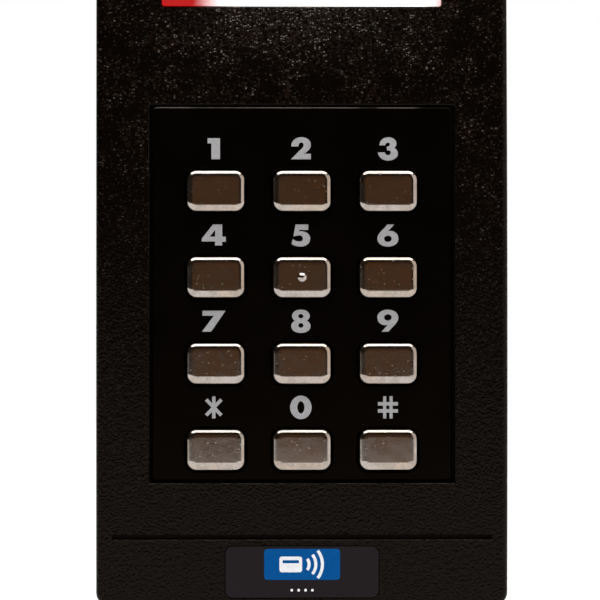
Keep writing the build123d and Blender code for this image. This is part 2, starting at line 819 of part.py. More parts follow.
with BuildPart() as wall_gasket:
    slab(body_width - 2 * gasket_inset, body_height - 2 * gasket_inset, 0, rim_depth,
         radius=corner_radius - gasket_inset)
    slab(skirt_inner_width, body_height - 2 * skirt_wall, 0, rim_depth,
         radius=inner_corner_radius, mode=Mode.SUBTRACT)
save(wall_gasket, "wall_gasket")
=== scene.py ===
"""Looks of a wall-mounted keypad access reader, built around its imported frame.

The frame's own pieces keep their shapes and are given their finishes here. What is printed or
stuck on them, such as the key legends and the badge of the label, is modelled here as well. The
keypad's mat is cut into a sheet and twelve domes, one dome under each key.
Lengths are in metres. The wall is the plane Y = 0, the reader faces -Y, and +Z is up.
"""

import logging
import math
from dataclasses import dataclass
from enum import Enum
from typing import Iterable, Sequence

import bmesh
import bpy
from bpy.types import Camera, Curve, Light, Material, Mesh, NodeSocket, Object, World
from mathutils import Matrix, Vector

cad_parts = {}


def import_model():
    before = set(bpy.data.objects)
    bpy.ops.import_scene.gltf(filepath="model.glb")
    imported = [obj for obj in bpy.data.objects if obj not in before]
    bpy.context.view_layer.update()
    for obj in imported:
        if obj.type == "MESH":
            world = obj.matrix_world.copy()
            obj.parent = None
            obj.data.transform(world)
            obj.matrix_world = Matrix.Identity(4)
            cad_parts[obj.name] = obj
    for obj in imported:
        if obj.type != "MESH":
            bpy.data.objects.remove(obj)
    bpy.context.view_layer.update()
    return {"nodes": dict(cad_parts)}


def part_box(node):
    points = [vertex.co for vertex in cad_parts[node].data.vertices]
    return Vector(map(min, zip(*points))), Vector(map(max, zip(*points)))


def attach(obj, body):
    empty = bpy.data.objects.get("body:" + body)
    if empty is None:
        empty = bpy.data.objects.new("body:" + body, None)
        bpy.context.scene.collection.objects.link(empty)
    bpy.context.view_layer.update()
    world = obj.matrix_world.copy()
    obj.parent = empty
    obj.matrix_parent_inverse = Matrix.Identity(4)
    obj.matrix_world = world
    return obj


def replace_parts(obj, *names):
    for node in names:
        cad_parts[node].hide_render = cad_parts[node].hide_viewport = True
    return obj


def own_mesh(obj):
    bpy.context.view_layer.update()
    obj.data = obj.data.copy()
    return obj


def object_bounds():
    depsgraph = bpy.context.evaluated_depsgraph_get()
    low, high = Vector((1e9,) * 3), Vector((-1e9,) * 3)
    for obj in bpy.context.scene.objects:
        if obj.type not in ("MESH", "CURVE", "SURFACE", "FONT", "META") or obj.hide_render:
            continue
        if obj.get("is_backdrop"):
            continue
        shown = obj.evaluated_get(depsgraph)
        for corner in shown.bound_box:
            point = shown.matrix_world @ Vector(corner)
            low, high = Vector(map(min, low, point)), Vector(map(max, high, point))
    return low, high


LOG = logging.getLogger("reader")
MM = 0.001
CIRCLE_HANDLE = 4 / 3 * (math.sqrt(2) - 1)
CURVE_STEPS = 10
SAME_POINT = 1e-6
WELD = 1e-7

Triple = tuple[float, float, float]
Point = tuple[float, float]
Span = tuple[float, float]
Segment = tuple[float, ...]
Nodes = dict[str, Object]


# ---- shader recipes ----


class Wire:
    """A number, colour or vector that flows through a material's nodes."""

    def __init__(self, recipe: "Recipe", socket: NodeSocket) -> None:
        """Wraps one output socket.

        Args:
            recipe: The recipe that owns the socket's node tree.
            socket: The output socket.
        """
        self.recipe = recipe
        self.socket = socket

    def maths(self, operation: str, *values: "Wire | float") -> "Wire":
        """Adds a Math node and returns its result."""
        return self.recipe.add("ShaderNodeMath", {"operation": operation}, values)

    def __add__(self, other: "Wire | float") -> "Wire":
        """The sum of two values."""
        return self.maths("ADD", self, other)

    __radd__ = __add__

    def __sub__(self, other: "Wire | float") -> "Wire":
        """The difference of two values."""
        return self.maths("SUBTRACT", self, other)

    def __rsub__(self, other: float) -> "Wire":
        """A number less this value."""
        return self.maths("SUBTRACT", other, self)

    def __mul__(self, other: "Wire | float") -> "Wire":
        """The product of two values."""
        return self.maths("MULTIPLY", self, other)

    __rmul__ = __mul__

    def __pow__(self, other: "Wire | float") -> "Wire":
        """This value raised to a power."""
        return self.maths("POWER", self, other)

    def larger(self, other: "Wire | float") -> "Wire":
        """The larger of two values."""
        return self.maths("MAXIMUM", self, other)

    def sine(self) -> "Wire":
        """The sine of this value."""
        return self.maths("SINE", self)

    def size(self) -> "Wire":
        """This value without its sign."""
        return self.maths("ABSOLUTE", self)

    def between(self, start: float, end: float) -> "Wire":
        """A soft step from 0 at start to 1 at end, where end may be the lower."""
        return self.recipe.add(
            "ShaderNodeMapRange",
            {"interpolation_type": "SMOOTHSTEP"},
            {"Value": self, "From Min": start, "From Max": end},
        )


class Recipe:
    """Builds the nodes of one material or world."""

    def __init__(self, owner: Material | World) -> None:
        """Starts from the plain nodes of a material or world.

        Args:
            owner: The material or world.
        """
        self.owner = owner
        owner.use_nodes = True
        self.tree = owner.node_tree

    @classmethod
    def named(cls, name: str) -> "Recipe":
        """A recipe for a new material."""
        return cls(bpy.data.materials.new(name))

    def add(
        self,
        kind: str,
        settings: dict[str, object] | None = None,
        inputs: Sequence[object] | dict[str | int, object] = (),
        output: int | str = 0,
    ) -> Wire:
        """Adds a node with its settings and inputs.

        Args:
            kind: The node's type.
            settings: Properties, which are set before the inputs.
            inputs: Values or wires, in order or by socket.
            output: The socket that the returned wire leaves from.

        Returns:
            The wire from the chosen output.
        """
        node = self.tree.nodes.new(kind)
        for key, value in (settings or {}).items():
            setattr(node, key, value)
        pairs = inputs.items() if isinstance(inputs, dict) else enumerate(inputs)
        for key, value in pairs:
            self.plug(node.inputs[key], value)
        return Wire(self, node.outputs[output])

    def plug(self, socket: NodeSocket, value: object) -> None:
        """Gives a socket a wire, a number or a colour."""
        if isinstance(value, Wire):
            self.tree.links.new(value.socket, socket)
        elif socket.type == "RGBA":
            socket.default_value = (*value, 1.0)
        else:
            socket.default_value = value

    def place(self, stretch: Triple = (1.0, 1.0, 1.0)) -> Wire:
        """The point on the piece, in metres, after a stretch along each axis."""
        spot = self.add("ShaderNodeTexCoord", output="Object")
        if stretch == (1.0, 1.0, 1.0):
            return spot
        return self.add("ShaderNodeMapping", None, {"Vector": spot, "Scale": stretch})

    def axis(self, name: str) -> Wire:
        """One coordinate of the point on the piece: "X", "Y" or "Z"."""
        return self.add("ShaderNodeSeparateXYZ", None, [self.place()], output=name)

    def noise(self, grain: float, detail: float = 2.0, where: Wire | None = None) -> Wire:
        """Cloudy noise from 0 to 1, whose features are about one grain across."""
        return self.add(
            "ShaderNodeTexNoise",
            None,
            {"Vector": where or self.place(), "Scale": 1 / grain, "Detail": detail},
        )

    def cells(
        self,
        grain: float,
        output: str = "Distance",
        where: Wire | None = None,
        measure: str = "EUCLIDEAN",
    ) -> Wire:
        """Distance to the nearest of scattered points about one grain apart, or its "Color"."""
        return self.add(
            "ShaderNodeTexVoronoi",
            {"feature": "F1", "distance": measure},
            {"Vector": where or self.place(), "Scale": 1 / grain},
            output=output,
        )

    def chances(self, grain: float, where: Wire | None = None) -> Wire:
        """One random number from 0 to 1 for each of the scattered points."""
        lots = self.cells(grain, output="Color", where=where)
        return self.add("ShaderNodeSeparateColor", None, [lots], output="Red")

    def blend(self, share: Wire | float, low: Wire | Triple, high: Wire | Triple) -> Wire:
        """A colour between two colours."""
        return self.add(
            "ShaderNodeMix", {"data_type": "RGBA"}, {0: share, 6: low, 7: high}, output=2
        )

    def relief(self, height: Wire, depth: float) -> Wire:
        """A surface normal from a height of 0 to 1 and its depth in metres."""
        return self.add("ShaderNodeBump", None, {"Height": height, "Distance": depth})

    def skinned(self, **sockets: object) -> Material:
        """Sets the surface's sockets and returns the material.

        Args:
            **sockets: Values by socket name in lower case, such as base_color.

        Returns:
            The finished material.
        """
        skin = self.tree.nodes["Principled BSDF"]
        names = {socket.name.lower().replace(" ", "_"): socket for socket in skin.inputs}
        for key, value in sockets.items():
            self.plug(names[key], value)
        return self.owner


# ---- finishes ----


@dataclass(frozen=True)
class CurvedFace:
    """The housing's front face, which bows gently from top to bottom."""

    depth: float
    apex_height: float
    radius: float = 900 * MM

    @classmethod
    def measured(cls, apex_above_bottom: float = 43 * MM) -> "CurvedFace":
        """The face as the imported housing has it."""
        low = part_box("front_housing")[0]
        return cls(-low.y, low.z + apex_above_bottom)


@dataclass(frozen=True)
class GrainedPlastic:
    """Moulded plastic with the coarse sand grain of the housing."""

    name: str = "housing grained plastic"
    colour: Triple = (0.0016, 0.0011, 0.0008)
    scuffed: Triple = (0.0050, 0.0038, 0.0030)
    brown: Triple = (0.0100, 0.0056, 0.0036)
    # Painted highlight: the colour of the pale patch on the lumps under the light bar, standing in
    # for light on the face there.
    highlight_colour: Triple = (0.0220, 0.0165, 0.0130)
    # Painted glints: the colour of the metallic specks that stand in for the grain's sparkle; they
    # still take their shine from the lamps.
    glint_colour: Triple = (0.085, 0.076, 0.068)
    sheen_colour: Triple = (1.0, 0.84, 0.70)
    grain: float = 0.58 * MM
    depth: float = 0.18 * MM
    flattened_above: float = 0.8
    grit: float = 0.34 * MM
    grit_depth: float = 0.13 * MM
    grit_shape: Triple = (0.75, 1.0, 1.2)
    grit_reach: float = 0.5
    grit_rise: Span = (-25 * MM, 60 * MM)
    grit_in_patches: float = 0.32
    grit_missing: float = 0.04
    grit_in_highlight: float = 0.9
    tall_with_plenty: float = 0.5
    tall_grains: Span = (0.72, 1.20)
    glint_with_plenty: float = 0.28
    glinting_grains: Span = (0.99, 1.08)
    highlight_rise: Span = (38 * MM, 62 * MM)
    highlight_half: float = 38 * MM
    mottle: float = 0.7 * MM
    mottle_edge: Span = (0.48, 0.66)
    patch: float = 5 * MM
    patch_edge: Span = (0.36, 0.62)
    cloud: float = 16 * MM
    scuffed_lumps: Span = (0.55, 0.70)
    scuffed_clouds: Span = (0.4, 0.7)
    highlighted_lumps: Span = (0.40, 0.62)
    roughness: float = 0.17
    cloudy_roughness: float = 0.08
    groove_roughness: float = 0.60
    specular: float = 0.11
    smooth_half: float = 40 * MM
    smooth_edge: float = 0.2 * MM
    smooth_behind: float = 0.30 * MM

    def recessed(self, recipe: Recipe, face: CurvedFace) -> Wire:
        """Where the surface lies behind the curved face: the groove and the recesses."""
        up = recipe.axis("Z") - face.apex_height
        out = recipe.axis("Y") - (face.radius - face.depth)
        to_axis = (up * up + out * out) ** 0.5
        behind = to_axis.between(
            face.radius - self.smooth_behind / 2, face.radius - self.smooth_behind
        )
        across = recipe.axis("X").size()
        return behind * across.between(self.smooth_half + self.smooth_edge, self.smooth_half)

    def haze(self, recipe: Recipe) -> Wire:
        """Where a highlight is painted: most in the middle, close under the light bar."""
        up = recipe.axis("Z").between(*self.highlight_rise)
        return up * recipe.axis("X").size().between(self.highlight_half, 0.0)

    def material(self, face: CurvedFace) -> Material:
        """Builds the finish: fine lumps, round grains, glints partly painted as bright metallic
        specks, and a painted highlight under the light bar.

        Args:
            face: The curved front face, behind which the plastic is smooth.

        Returns:
            The material.
        """
        recipe = Recipe.named(self.name)
        lumps = recipe.noise(self.grain, detail=2.5)
        clouds = recipe.noise(self.cloud, detail=3.0)
        patches = recipe.noise(self.patch, detail=3.0).between(*self.patch_edge)
        spots = recipe.noise(self.mottle, detail=2.0).between(*self.mottle_edge)
        haze = self.haze(recipe)
        high = recipe.axis("Z").between(*self.grit_rise)
        recessed = self.recessed(recipe, face)
        grained = 1 - recessed

        squashed = recipe.place(stretch=self.grit_shape)
        reach = recipe.cells(self.grit, where=squashed)
        chance = recipe.chances(self.grit, where=squashed)
        dome = (1 - reach * reach * (1 / self.grit_reach**2)).larger(0.0)
        plenty = (
            high * (self.grit_in_patches * patches - self.grit_missing)
            + haze * self.grit_in_highlight
        )
        tall = (chance + plenty * self.tall_with_plenty).between(*self.tall_grains)
        # Painted glints: a few grains become bright metallic specks, more of them high up and under
        # the light bar.
        lucky = (chance + plenty * self.glint_with_plenty).between(*self.glinting_grains)
        glint = lucky * grained
        rolling = lumps * (1 - self.flattened_above * high) * (self.depth / self.grit_depth)

        worn = lumps.between(*self.scuffed_lumps) * clouds.between(*self.scuffed_clouds)
        scuffed = recipe.blend(worn * grained, self.colour, self.scuffed)
        mottled = recipe.blend(spots * patches * high, scuffed, self.brown)
        # Painted highlight: a pale patch on the lumps' tops, most in the middle close under the
        # light bar.
        with_highlight = recipe.blend(haze * lumps.between(*self.highlighted_lumps), mottled, self.highlight_colour)
        return recipe.skinned(
            base_color=recipe.blend(glint, with_highlight, self.glint_colour),
            metallic=glint,
            roughness=self.roughness
            + self.cloudy_roughness * (clouds - 0.5)
            + recessed * (self.groove_roughness - self.roughness),
            specular_ior_level=self.specular,
            specular_tint=self.sheen_colour,
            normal=recipe.relief((rolling + dome * tall) * grained, self.grit_depth),
        )


@dataclass(frozen=True)
class SmoothPlastic:
    """Smooth moulded plastic with a faint texture and cloudy gloss."""

    name: str
    colour: Triple
    roughness: float = 0.34
    cloudy_roughness: float = 0.12
    fine_roughness: float = 0.06
    cloud: float = 9 * MM
    cloud_edge: Span = (0.3, 0.8)
    grain: float = 0.22 * MM
    depth: float = 0.004 * MM
    tint: float = 1.35
    specular: float = 0.5
    sheen_colour: Triple = (1.0, 1.0, 1.0)
    # Painted highlight: the colour of a pale line along a top edge.
    edge_highlight: Triple = (0.090, 0.078, 0.068)
    edge_highlight_width: float = 0.32 * MM
    edge_highlight_clouds: Span = (0.34, 0.56)

    def material(self, top: float | None = None) -> Material:
        """Builds the finish: a fine spark texture under a slightly uneven sheen.

        Args:
            top: The height of the piece's top edge, if a pale highlight is painted along that edge.

        Returns:
            The material.
        """
        recipe = Recipe.named(self.name)
        clouds = recipe.noise(self.cloud, detail=3.0)
        fine = recipe.noise(self.grain)
        lighter = tuple(min(1.0, part * self.tint) for part in self.colour)
        colour = recipe.blend(clouds.between(*self.cloud_edge), self.colour, lighter)
        if top is not None:
            # Painted highlight: a pale line along the top edge, broken up by the clouds.
            edge = recipe.axis("Z").between(top - self.edge_highlight_width, top - self.edge_highlight_width / 2)
            share = edge * clouds.between(*self.edge_highlight_clouds)
            colour = recipe.blend(share, colour, self.edge_highlight)
        return recipe.skinned(
            base_color=colour,
            roughness=self.roughness
            + self.cloudy_roughness * (clouds - 0.5)
            + self.fine_roughness * (fine - 0.5),
            specular_ior_level=self.specular,
            specular_tint=self.sheen_colour,
            normal=recipe.relief(fine, self.depth),
        )


@dataclass(frozen=True)
class PlatedMetal:
    """Plated die-cast metal: mottled plating, fine pits and hairline scratches."""

    name: str
    colour: Triple = (0.46, 0.41, 0.375)
    dulled: Triple = (0.345, 0.295, 0.255)
    warm: Triple = (0.48, 0.385, 0.31)
    # Painted shade: near black on the keys' metal below the panel face, where the flange lies in
    # the shaded gap round the key.
    bare: Triple = (0.004, 0.003, 0.002)
    shade_below: float = 0.25 * MM
    shaded_roughness: float = 0.3
    roughness: float = 0.11
    dull_roughness: float = 0.05
    pit_roughness: float = 0.10
    haze: float = 2.4 * MM
    haze_edge: Span = (0.42, 0.64)
    haze_share: float = 0.6
    speckle: float = 0.42 * MM
    speckle_edge: Span = (0.42, 0.64)
    warm_patch: float = 11 * MM
    warm_edge: Span = (0.42, 0.66)
    peel: float = 0.55 * MM
    peel_depth: float = 0.0020 * MM
    pit: float = 1.1 * MM
    pit_edge: Span = (0.15, 0.06)
    pit_depth: float = 0.012 * MM
    hair: float = 0.16 * MM
    hair_stretch: Triple = (0.16, 1.0, 1.0)
    hair_edge: Span = (0.60, 0.70)
    hair_share: float = 0.06
    hair_roughness: float = 0.05

    def material(self, panel_front: float) -> Material:
        """Builds the finish: pits and scratches dull the plating and break its shine.

        Args:
            panel_front: The depth of the panel's face, below which shade is painted on the metal.

        Returns:
            The material.
        """
        recipe = Recipe.named(self.name)
        haze = recipe.noise(self.haze, detail=5.0).between(*self.haze_edge)
        speckle = recipe.noise(self.speckle).between(*self.speckle_edge)
        warmth = recipe.noise(self.warm_patch, detail=3.0).between(*self.warm_edge)
        peel = recipe.noise(self.peel)
        pits = recipe.cells(self.pit).between(*self.pit_edge)
        hair = recipe.noise(self.hair, detail=3.0, where=recipe.place(stretch=self.hair_stretch))
        scratches = hair.between(*self.hair_edge)
        dull = haze * self.haze_share + speckle * (1 - self.haze_share)
        # Painted shade: the metal below the panel face is painted near black, so the flange in the
        # gap looks shaded.
        deep = recipe.axis("Y").between(panel_front, panel_front + self.shade_below)
        plated = recipe.blend(warmth, self.colour, self.warm)
        return recipe.skinned(
            base_color=recipe.blend(deep, recipe.blend(dull, plated, self.dulled), self.bare),
            metallic=1.0,
            roughness=self.roughness
            + self.dull_roughness * dull
            + self.pit_roughness * pits
            + self.hair_roughness * scratches
            + self.shaded_roughness * deep,
            normal=recipe.relief(
                peel * (self.peel_depth / self.pit_depth)
                + (1 - pits)
                + scratches * self.hair_share,
                self.pit_depth,
            ),
        )


@dataclass(frozen=True)
class TurnedMetal:
    """Plain metal of screws, cans and inserts, with fine machining rings."""

    name: str
    colour: Triple
    roughness: float = 0.30
    cloud: float = 1.8 * MM
    cloud_edge: Span = (0.35, 0.75)
    cloudy_roughness: float = 0.10
    darkening: float = 0.7
    ring: float = 0.12 * MM
    ring_stretch: Triple = (1.0, 0.12, 1.0)
    ring_depth: float = 0.004 * MM
    ring_roughness: float = 0.15

    def material(self) -> Material:
        """Builds the finish: brushed streaks over a cloudy metal."""
        recipe = Recipe.named(self.name)
        clouds = recipe.noise(self.cloud, detail=3.0)
        streaks = recipe.noise(self.ring, where=recipe.place(stretch=self.ring_stretch))
        darker = tuple(part * self.darkening for part in self.colour)
        return recipe.skinned(
            base_color=recipe.blend(clouds.between(*self.cloud_edge), self.colour, darker),
            metallic=1.0,
            roughness=self.roughness
            + self.ring_roughness * (streaks - 0.5)
            + self.cloudy_roughness * (clouds - 0.5),
            normal=recipe.relief(streaks, self.ring_depth),
        )


@dataclass(frozen=True)
class LitLens:
    """The milky lens of the light bar, lit white with red at its ends."""

    name: str = "light bar lens"
    near_end: Span = (-12.5 * MM, -22.5 * MM)
    far_end: Span = (24.5 * MM, 28.8 * MM)
    far_share: float = 0.7
    strength: float = 1.5
    white: Triple = (1.0, 1.0, 1.0)
    red: Triple = (0.33, 0.006, 0.006)
    white_skin: Triple = (0.55, 0.55, 0.55)
    red_skin: Triple = (0.03, 0.004, 0.004)
    wobble: float = 3 * MM
    wobble_shift: float = 3 * MM
    wobble_depth: float = 0.01 * MM
    roughness: float = 0.22
    wobble_roughness: float = 0.10

    def material(self) -> Material:
        """Builds the finish: a glow that runs from red to white along the bar."""
        recipe = Recipe.named(self.name)
        wobble = recipe.noise(self.wobble)
        along = recipe.axis("X") + (wobble - 0.5) * self.wobble_shift
        reddened = along.between(*self.near_end).larger(
            along.between(*self.far_end) * self.far_share
        )
        return recipe.skinned(
            base_color=recipe.blend(reddened, self.white_skin, self.red_skin),
            roughness=self.roughness + self.wobble_roughness * wobble,
            emission_color=recipe.blend(reddened, self.white, self.red),
            emission_strength=self.strength,
            normal=recipe.relief(wobble, self.wobble_depth),
        )


@dataclass(frozen=True)
class CircuitBoard:
    """Green solder mask over copper tracks, with plated holes."""

    name: str = "circuit board"
    mask: Triple = (0.006, 0.075, 0.030)
    track: Triple = (0.014, 0.150, 0.060)
    bare: Triple = (0.62, 0.52, 0.30)
    pitch: float = 1.27 * MM
    flattened: Triple = (1.0, 0.05, 1.0)
    block_pitches: float = 7
    block_tracks: int = 9
    track_edge: Span = (0.25, 0.6)
    hole_pitches: float = 3.1
    hole_edge: Span = (0.13, 0.10)
    hole_metal: float = 0.9
    roughness: float = 0.32
    track_gloss: float = 0.08
    depth: float = 0.035 * MM

    def material(self) -> Material:
        """Builds the finish: tracks that follow square cells, and a scatter of holes."""
        recipe = Recipe.named(self.name)
        flat = recipe.place(stretch=self.flattened)
        blocks = recipe.cells(self.block_pitches * self.pitch, where=flat, measure="CHEBYCHEV")
        lines = (blocks * (2 * math.pi * self.block_tracks)).sine().between(*self.track_edge)
        spots = recipe.cells(self.hole_pitches * self.pitch, where=flat)
        holes = spots.between(*self.hole_edge)
        copper = recipe.blend(lines, self.mask, self.track)
        return recipe.skinned(
            base_color=recipe.blend(holes, copper, self.bare),
            metallic=holes * self.hole_metal,
            roughness=self.roughness - self.track_gloss * lines,
            normal=recipe.relief(lines * 0.5 + holes * 0.5, self.depth),
        )


@dataclass(frozen=True)
class SoftRubber:
    """Silicone and foam rubber: matt, with a dusty bloom."""

    name: str
    colour: Triple
    roughness: float = 0.75
    pore: float = 0.35 * MM
    pore_depth: float = 0.03 * MM
    pore_roughness: float = 0.15
    bloom: float = 4 * MM
    bloom_edge: Span = (0.35, 0.75)
    bloom_gain: float = 1.5
    bloom_lift: float = 0.01

    def material(self) -> Material:
        """Builds the finish: small pores under a pale bloom."""
        recipe = Recipe.named(self.name)
        pores = recipe.cells(self.pore)
        bloom = recipe.noise(self.bloom, detail=4.0).between(*self.bloom_edge)
        dusty = tuple(min(1.0, part * self.bloom_gain + self.bloom_lift) for part in self.colour)
        return recipe.skinned(
            base_color=recipe.blend(bloom, self.colour, dusty),
            roughness=self.roughness + self.pore_roughness * (pores - 0.5),
            normal=recipe.relief(pores, self.pore_depth),
        )


@dataclass(frozen=True)
class Ink:
    """Screen-printed ink: flat colour with a fine mesh texture and thin spots."""

    name: str
    colour: Triple
    roughness: float = 0.55
    specular: float = 0.05
    cover: float = 0.9 * MM
    cover_edge: Span = (0.35, 0.8)
    thinning: float = 0.86
    mesh: float = 0.12 * MM
    mesh_depth: float = 0.004 * MM
    mesh_roughness: float = 0.12

    def material(self) -> Material:
        """Builds the finish: slightly uneven cover with a fine grain."""
        recipe = Recipe.named(self.name)
        cover = recipe.noise(self.cover, detail=3.0).between(*self.cover_edge)
        mesh = recipe.noise(self.mesh, detail=1.0)
        thin = tuple(part * self.thinning for part in self.colour)
        return recipe.skinned(
            base_color=recipe.blend(cover, self.colour, thin),
            roughness=self.roughness + self.mesh_roughness * (mesh - 0.5),
            specular_ior_level=self.specular,
            normal=recipe.relief(mesh, self.mesh_depth),
        )


@dataclass(frozen=True)
class CopperTurns:
    """Flat copper turns of the antenna, seen through green solder mask."""

    name: str = "antenna copper"
    copper: Triple = (0.36, 0.20, 0.07)
    gap: Triple = (0.006, 0.075, 0.030)
    pitch: float = 0.4 * MM
    turn_edge: Span = (-0.2, 0.2)
    turn_metal: float = 0.8
    turn_depth: float = 0.03 * MM
    roughness: float = 0.38
    turn_gloss: float = 0.1

    def material(self) -> Material:
        """Builds the finish: parallel turns on both the upright and the level runs."""
        recipe = Recipe.named(self.name)
        wave = 2 * math.pi / self.pitch
        across = (recipe.axis("X").size() * wave).sine()
        upright = (recipe.axis("Z").size() * wave).sine()
        turns = (across * upright).between(*self.turn_edge)
        return recipe.skinned(
            base_color=recipe.blend(turns, self.gap, self.copper),
            metallic=turns * self.turn_metal,
            roughness=self.roughness - self.turn_gloss * turns,
            normal=recipe.relief(turns, self.turn_depth),
        )


# ---- printed shapes ----


def placed(name: str, data: Curve | Mesh | Light | Camera) -> Object:
    """Adds an object to the scene."""
    thing = bpy.data.objects.new(name, data)
    bpy.context.scene.collection.objects.link(thing)
    return thing


@dataclass(frozen=True)
class Outline:
    """A closed outline of straight lines and smooth curves.

    A segment of two numbers is a line to that point. A segment of six numbers is a curve to
    its last point, shaped by the two handles before it.
    """

    start: Point
    segments: tuple[Segment, ...]

    @classmethod
    def traced(cls, start: Point, *segments: Segment) -> "Outline":
        """An outline of lines and curves, one after another."""
        return cls(start, segments)

    @classmethod
    def oval(cls, centre: Point, half_width: float, half_height: float) -> "Outline":
        """An ellipse from four smooth curves."""
        (x, y), w, h, k = centre, half_width, half_height, CIRCLE_HANDLE
        return cls.traced(
            (x + w, y),
            (x + w, y + k * h, x + k * w, y + h, x, y + h),
            (x - k * w, y + h, x - w, y + k * h, x - w, y),
            (x - w, y - k * h, x - k * w, y - h, x, y - h),
            (x + k * w, y - h, x + w, y - k * h, x + w, y),
        )

    @classmethod
    def panel(cls, centre: Point, width: float, height: float, radius: float) -> "Outline":
        """A rectangle with rounded corners."""
        (x, y), w, h = centre, width / 2, height / 2
        c = radius * (1 - CIRCLE_HANDLE)
        return cls.traced(
            (x + w - radius, y - h),
            (x + w - c, y - h, x + w, y - h + c, x + w, y - h + radius),
            (x + w, y + h - radius),
            (x + w, y + h - c, x + w - c, y + h, x + w - radius, y + h),
            (x - w + radius, y + h),
            (x - w + c, y + h, x - w, y + h - c, x - w, y + h - radius),
            (x - w, y - h + radius),
            (x - w, y - h + c, x - w + c, y - h, x - w + radius, y - h),
        )

    def ends(self) -> list[Point]:
        """The points at which its lines and curves start and end."""
        return [self.start, *(segment[-2:] for segment in self.segments)]

    def turned(self, centre: Point) -> "Outline":
        """The outline turned half a turn about a point."""
        x, y = centre
        return Outline(
            (2 * x - self.start[0], 2 * y - self.start[1]),
            tuple(
                tuple(2 * (y if n % 2 else x) - part for n, part in enumerate(segment))
                for segment in self.segments
            ),
        )

    def draw(self, curve: Curve, scale: float, shift: Point) -> None:
        """Adds the outline to a flat curve.

        Args:
            curve: The flat curve that takes the outline.
            scale: The length of one unit of the outline.
            shift: What is added to each point, in the outline's units.
        """
        ends = self.ends()
        steps = list(self.segments)
        if math.dist(ends[0], ends[-1]) < SAME_POINT:
            ends.pop()
        else:
            steps.append(self.start)
        spline = curve.splines.new("BEZIER")
        knots = spline.bezier_points
        knots.add(len(ends) - 1)
        spline.use_cyclic_u = True

        def spot(x: float, y: float) -> Vector:
            """A point of the outline on the curve's plane."""
            return Vector(((x + shift[0]) * scale, (y + shift[1]) * scale, 0.0))

        for knot, end in zip(knots, ends):
            knot.co = spot(*end)
            knot.handle_left_type = knot.handle_right_type = "VECTOR"
        curved = [
            (knots[n], knots[(n + 1) % len(ends)], step)
            for n, step in enumerate(steps)
            if len(step) > 2
        ]
        for here, there, _ in curved:
            here.handle_right_type = there.handle_left_type = "FREE"
        for here, there, step in curved:
            here.handle_right = spot(*step[0:2])
            there.handle_left = spot(*step[2:4])


def stored(shape: bmesh.types.BMesh, mesh: Mesh) -> Mesh:
    """Puts a finished shape into a mesh."""
    shape.to_mesh(mesh)
    shape.free()
    return mesh


def fitted(
    name: str, mesh: Mesh, material: Material, body: str
) -> Object:
    """Turns a mesh that is already in place into a finished piece.

    Args:
        name: The piece's name.
        mesh: Its mesh, in the frame's own coordinates.
        material: Its finish.
        body: The body it rides on.

    Returns:
        The piece's object.
    """
    piece = placed(name, mesh)
    mesh.materials.clear()
    mesh.materials.append(material)
    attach(piece, body)
    LOG.info("%s: %d faces on %s", name, len(mesh.polygons), body)
    return piece


def stamp(
    name: str,
    outlines: Sequence[Outline],
    ink: Material,
    where: Matrix,
    thickness: float,
    scale: float = 1.0,
    shift: Point = (0.0, 0.0),
) -> None:
    """Prints outlines as a thin raised piece, with a hole where one lies inside another.

    Args:
        name: The piece's name.
        outlines: The outlines, in their own units.
        ink: Its finish.
        where: Takes local X, Y and Z to across, up and out of the surface.
        thickness: How far the print stands up.
        scale: The length of one unit.
        shift: What is added to each point, in units.
    """
    curve = bpy.data.curves.new(name, "CURVE")
    curve.dimensions = "2D"
    curve.fill_mode = "BOTH"
    curve.resolution_u = CURVE_STEPS
    curve.extrude = thickness / 2
    for outline in outlines:
        outline.draw(curve, scale, shift)
    drawn = placed(name, curve)
    bpy.context.view_layer.update()
    mesh = bpy.data.meshes.new_from_object(
        drawn.evaluated_get(bpy.context.evaluated_depsgraph_get())
    )
    bpy.data.objects.remove(drawn)
    shape = bmesh.new()
    shape.from_mesh(mesh)
    bmesh.ops.remove_doubles(shape, verts=shape.verts, dist=WELD)
    raised = where @ Matrix.Translation((0, 0, thickness / 2))
    bmesh.ops.transform(shape, matrix=raised, verts=shape.verts)
    bmesh.ops.recalc_face_normals(shape, faces=shape.faces)
    fitted(name, stored(shape, mesh), ink, "housing")


def facing(x: float, y: float, z: float, tilt: float = 0.0) -> Matrix:
    """A place on the front: local X is across, local Y is up and local Z faces the room.

    Args:
        x: Across.
        y: Depth.
        z: Height.
        tilt: How far the surface leans, in radians; positive faces the floor a little.

    Returns:
        The matrix of the place.
    """
    return Matrix.Translation((x, y, z)) @ Matrix.Rotation(math.pi / 2 + tilt, 4, "X")


# ---- key legends ----


def star_shape(half_width: float, reach: float, lean: float) -> Outline:
    """A six-armed star from bars that cross at one point.

    Args:
        half_width: Half the width of a bar.
        reach: From the middle to the end of a bar.
        lean: The slanting arms' angle from level, in radians.

    Returns:
        The outline, about its middle.
    """
    arms = [math.pi / 2, math.pi - lean, math.pi + lean, 3 * math.pi / 2, -lean, lean]
    points = []
    for n, arm in enumerate(arms):
        along = Vector((math.cos(arm), math.sin(arm)))
        side = Vector((along.y, -along.x)) * half_width
        points += [tuple(along * reach + side), tuple(along * reach - side)]
        gap = (arms[(n + 1) % len(arms)] - arm) % (2 * math.pi)
        middle = arm + gap / 2
        inner = half_width / math.sin(gap / 2)
        points.append((inner * math.cos(middle), inner * math.sin(middle)))
    return Outline.traced(*points)


